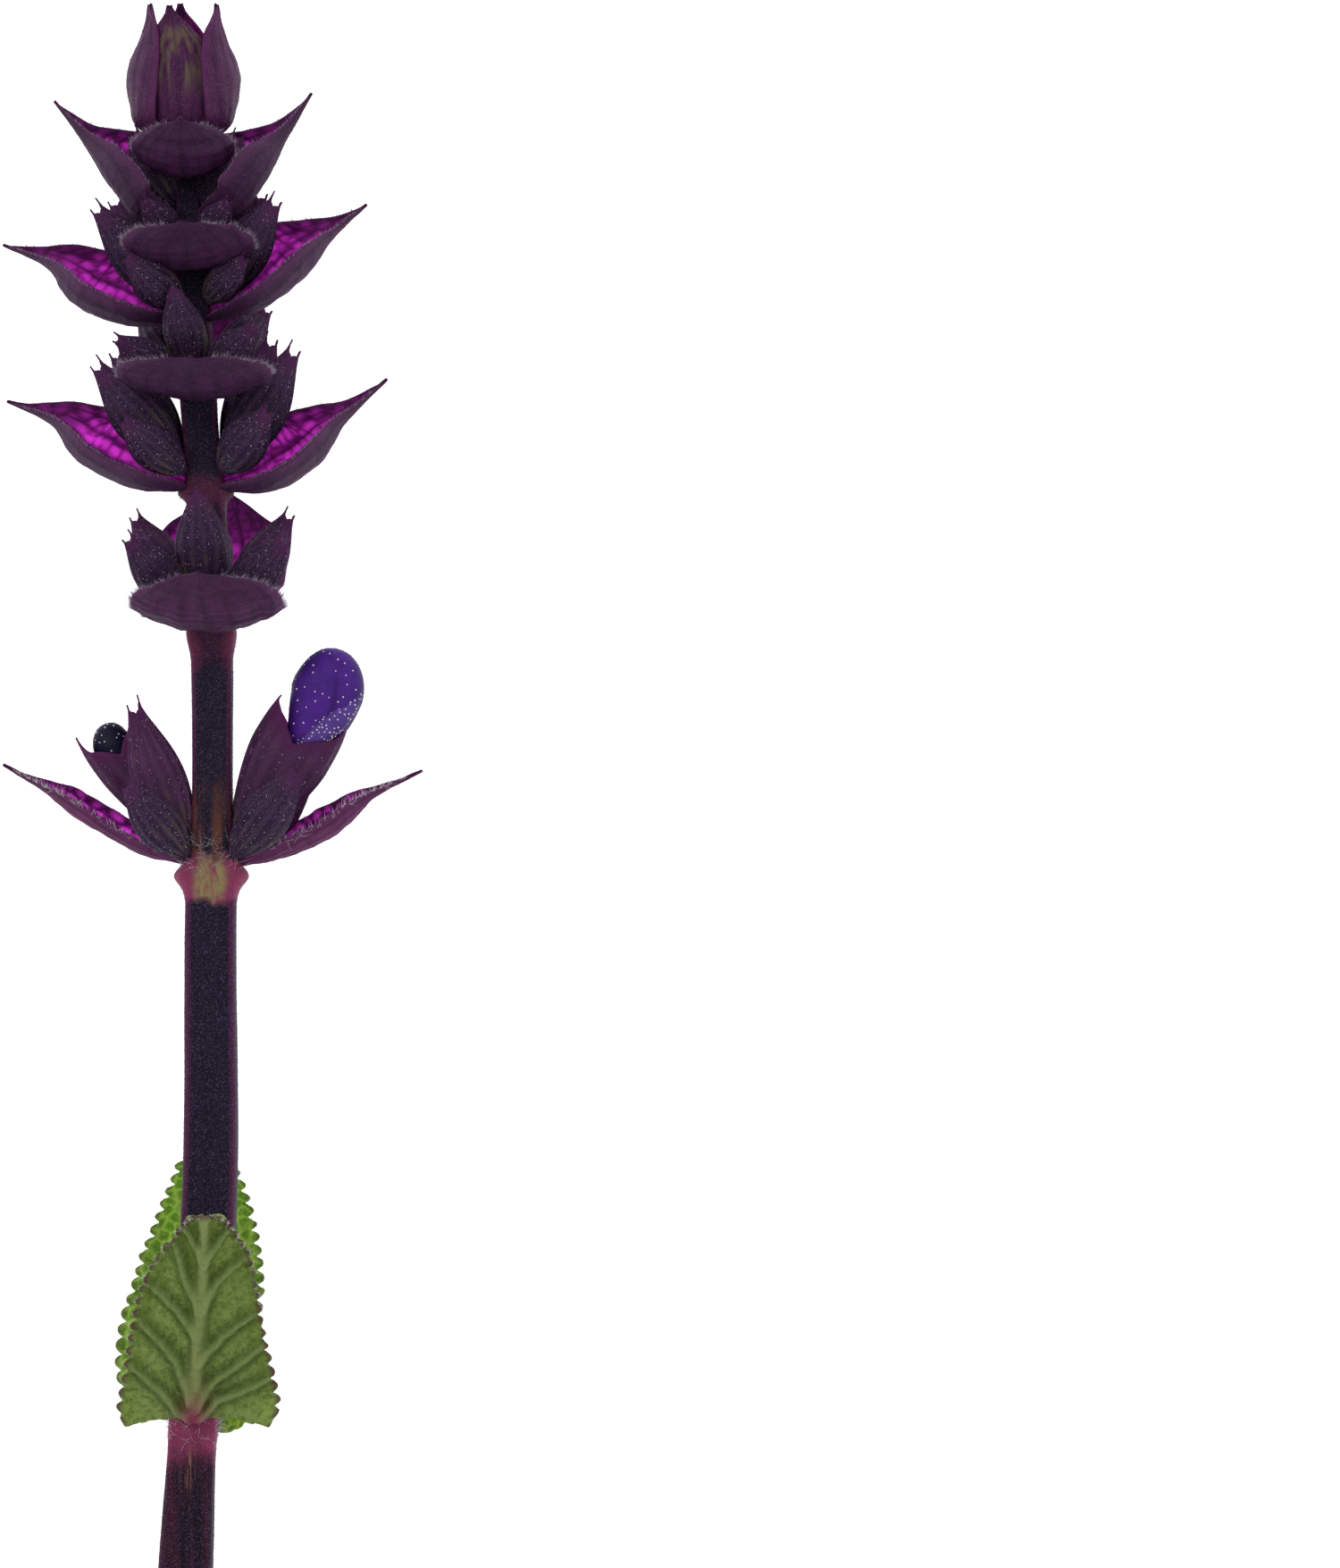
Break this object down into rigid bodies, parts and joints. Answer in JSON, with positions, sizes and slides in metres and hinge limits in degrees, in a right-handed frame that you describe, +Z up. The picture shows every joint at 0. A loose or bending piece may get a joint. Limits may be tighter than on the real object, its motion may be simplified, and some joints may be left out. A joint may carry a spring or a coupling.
{
  "type": "perennial salvia stem",
  "caption": "Cut flowering stem of purple sage with whorls of pointed bracts, ribbed calyces, a violet flower bud and a pair of toothed leaves, lying on its back.",
  "frame": {"origin": "on the surface that the stem lies on, under the middle of the plant's box", "axes": "+Y along the stem from the cut end to the tip, +X to the right and +Z up, out of the side that shows"},
  "size_m": [0.0208, 0.085, 0.0158],
  "materials": {
    "stem": "matte",
    "leaf": "matte",
    "bract": "satin",
    "calyx": "matte",
    "corolla": "satin",
    "bud": "satin"
  },
  "bodies": {
    "root": {"stem": "stem", "leaf_back": "leaf", "leaf_front": "leaf", "bract_1_left": "bract", "bract_1_right": "bract", "bract_2_back": "bract", "bract_2_front": "bract", "bract_3_left": "bract", "bract_3_right": "bract", "bract_4_back": "bract", "bract_4_front": "bract", "bract_5_left": "bract", "bract_5_right": "bract", "bract_6_back": "bract", "bract_6_front": "bract", "bract_7_left": "bract", "bract_7_right": "bract", "bract_8_back": "bract", "bract_8_front": "bract", "calyx_1_left_front": "calyx", "calyx_1_left_outer": "calyx", "calyx_1_left_top": "calyx", "calyx_1_right_front": "calyx", "calyx_1_right_low": "calyx", "calyx_1_right_top": "calyx", "calyx_2_back_left": "calyx", "calyx_2_back_middle": "calyx", "calyx_2_back_right": "calyx", "calyx_2_front_left": "calyx", "calyx_2_front_middle": "calyx", "calyx_2_front_right": "calyx", "calyx_3_left_front": "calyx", "calyx_3_left_outer": "calyx", "calyx_3_left_top": "calyx", "calyx_3_right_front": "calyx", "calyx_3_right_outer": "calyx", "calyx_3_right_top": "calyx", "calyx_4_back_left": "calyx", "calyx_4_back_right": "calyx", "calyx_4_front_left": "calyx", "calyx_4_front_middle": "calyx", "calyx_4_front_right": "calyx", "calyx_5_left_front": "calyx", "calyx_5_left_outer": "calyx", "calyx_5_left_top": "calyx", "calyx_5_right_front": "calyx", "calyx_5_right_outer": "calyx", "calyx_5_right_top": "calyx", "calyx_6_front_left": "calyx", "calyx_6_front_right": "calyx", "calyx_7_left": "calyx", "calyx_7_right": "calyx", "corolla_left": "corolla", "corolla_right": "corolla", "bud_bract_back": "bud", "bud_bract_front": "bud", "bud_bract_left": "bud", "bud_bract_right": "bud", "bud_core": "bud"}
  },
  "joints": []
}
